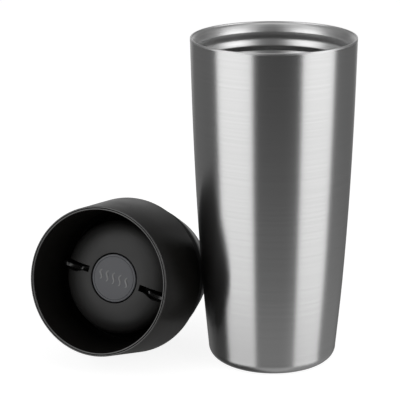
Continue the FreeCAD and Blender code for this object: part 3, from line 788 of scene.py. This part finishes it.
def make_world():
    """A white surround for the camera, and a studio for what the pieces mirror.

    The studio is dark in front and dim at the sides, has a bright wall behind, and brightens towards the
    table. Low on the left it is shaded, where the lid lies, and low on the right it is a little brighter.
    """
    world = bpy.data.worlds.new("studio")
    bpy.context.scene.world = world
    world.use_nodes = True
    tree = world.node_tree
    tree.nodes.clear()

    def add(kind, **settings):
        node = tree.nodes.new(kind)
        for key, setting in settings.items():
            setattr(node, key, setting)
        return node

    def span(factor, start, finish, low, high):
        reach = add("ShaderNodeMapRange", interpolation_type="SMOOTHSTEP")
        for socket, number in zip(("From Min", "From Max", "To Min", "To Max"), (start, finish, low, high)):
            reach.inputs[socket].default_value = number
        tree.links.new(factor, reach.inputs["Value"])
        return reach.outputs["Result"]

    def combine(operation, first, second):
        node = add("ShaderNodeMath", operation=operation)
        tree.links.new(first, node.inputs[0])
        tree.links.new(second, node.inputs[1])
        return node.outputs["Value"]

    direction = add("ShaderNodeTexCoord").outputs["Generated"]
    flat = add("ShaderNodeVectorMath", operation="MULTIPLY")
    flat.inputs[1].default_value = (1, 1, 0)
    tree.links.new(direction, flat.inputs[0])
    level = add("ShaderNodeVectorMath", operation="NORMALIZE")
    tree.links.new(flat.outputs["Vector"], level.inputs[0])
    round_about = add("ShaderNodeSeparateXYZ")
    tree.links.new(level.outputs["Vector"], round_about.inputs["Vector"])
    full = add("ShaderNodeSeparateXYZ")
    tree.links.new(direction, full.inputs["Vector"])
    side, back, height = round_about.outputs["X"], round_about.outputs["Y"], full.outputs["Z"]

    front = span(back, -0.9, -0.6, 0.045, 0.2)
    shade = combine("MAXIMUM", span(side, -0.85, -0.45, 0.02, 1.0), span(height, -0.46, -0.38, 0.0, 1.0))
    front = combine("MULTIPLY", front, shade)
    low_right = combine("MULTIPLY", span(side, 0.3, 0.7, 0.0, 1.0), span(height, -0.31, -0.46, 0.0, 0.15))
    front = combine("ADD", front, low_right)
    wall = combine("MULTIPLY", span(back, 0.82, 0.96, 0.0, 0.9), span(height, 0.12, 0.42, 1.0, 0.05))
    wall = combine("MULTIPLY", wall, span(height, -0.3, -0.05, 0.0, 1.0))
    table = combine("MULTIPLY", span(height, -0.28, -0.75, 0.0, 0.5), span(back, -0.9, -0.5, 1.0, 0.1))
    ceiling = combine("MULTIPLY", span(height, 0.25, 0.6, 0.0, 0.55), span(back, -0.3, 0.1, 1.0, 0.2))
    ceiling = combine("MULTIPLY", ceiling, span(back, -0.97, -0.84, 0.1, 1.0))
    total = combine("ADD", combine("ADD", front, wall), combine("ADD", table, ceiling))

    output = add("ShaderNodeOutputWorld")
    white = add("ShaderNodeBackground")
    white.inputs["Strength"].default_value = 1.0
    white.inputs["Color"].default_value = (1, 1, 1, 1)
    studio = add("ShaderNodeBackground")
    tree.links.new(total, studio.inputs["Strength"])
    path = add("ShaderNodeLightPath")
    mix = add("ShaderNodeMixShader")
    tree.links.new(path.outputs["Is Camera Ray"], mix.inputs["Fac"])
    tree.links.new(studio.outputs["Background"], mix.inputs[1])
    tree.links.new(white.outputs["Background"], mix.inputs[2])
    tree.links.new(mix.outputs["Shader"], output.inputs["Surface"])


# Each softbox: name, azimuth in degrees (0 in front, positive towards +X), width, lower edge, upper edge and
# radiance.
SOFTBOXES = [
    ("left_upper", -58.5, 0.937, 0.0, 1.0, 1.32),
    ("left_lower", -58.5, 0.937, -0.62, 0.0, 1.12),
    ("right_upper", 62.3, 0.866, 0.0, 1.0, 1.42),
    ("right_lower", 62.3, 0.866, -0.6, 0.0, 1.0),
]
SOFTBOX_DISTANCE = 0.9


def softbox(name, azimuth, width, low, high, radiance):
    """An upright panel of light that faces the mug."""
    light = bpy.data.lights.new(name, "AREA")
    light.shape = "RECTANGLE"
    light.size = width
    light.size_y = high - low
    light.energy = radiance * math.pi * width * (high - low)
    lamp = bpy.data.objects.new(name, light)
    angle = math.radians(azimuth)
    lamp.location = (SOFTBOX_DISTANCE * math.sin(angle), -SOFTBOX_DISTANCE * math.cos(angle),
                     (low + high) / 2)
    lamp.rotation_euler = (math.pi / 2, 0, angle)
    bpy.context.scene.collection.objects.link(lamp)


def overhead(name, size, height, radiance):
    """A level square panel of light over the objects."""
    light = bpy.data.lights.new(name, "AREA")
    light.shape = "SQUARE"
    light.size = size
    light.energy = radiance * math.pi * size * size
    lamp = bpy.data.objects.new(name, light)
    lamp.location = (-0.1, 0.05, height)
    bpy.context.scene.collection.objects.link(lamp)


def make_lights():
    """The four softboxes and the panel overhead."""
    for settings in SOFTBOXES:
        softbox(*settings)
    overhead("top", 0.8, 1.1, 0.4)


TILT_DOWN = math.radians(17.03)   # the camera looks down by this angle
CAMERA_ROLL = math.radians(-0.45)
CAMERA_REACH = 0.8134             # distance from the camera to the point that it aims at
AIM = Vector((-0.0370, 0, 0.0835))
LENS = 144.0                      # for a sensor 36 mm wide


def make_camera():
    """The camera, in front of the mug, looking down and slightly rolled."""
    camera = bpy.data.cameras.new("camera")
    camera.lens = LENS
    camera.sensor_width = 36.0
    camera.clip_end = 50.0
    holder = bpy.data.objects.new("camera", camera)
    forward = Vector((0, math.cos(TILT_DOWN), -math.sin(TILT_DOWN)))
    up = Vector((0, math.sin(TILT_DOWN), math.cos(TILT_DOWN)))
    right = Vector((1, 0, 0))
    place = AIM - forward * CAMERA_REACH
    rolled_right = right * math.cos(CAMERA_ROLL) + up * math.sin(CAMERA_ROLL)
    rolled_up = up * math.cos(CAMERA_ROLL) - right * math.sin(CAMERA_ROLL)
    turn = Matrix((rolled_right, rolled_up, -forward)).transposed().to_4x4()
    holder.matrix_world = Matrix.Translation(place) @ turn
    bpy.context.scene.collection.objects.link(holder)
    bpy.context.scene.camera = holder


make_outer_wall()
make_inner_vessel()
make_base_cap()
make_lid_shell()
make_drinking_bowl()
make_collar()
make_dome()
make_hub()
make_button()
make_motif()
make_valve()
make_screw()
make_button_spring()
dress_kept_nodes()
make_floor()
make_world()
make_lights()
make_camera()
bpy.context.scene.view_settings.view_transform = "Standard"
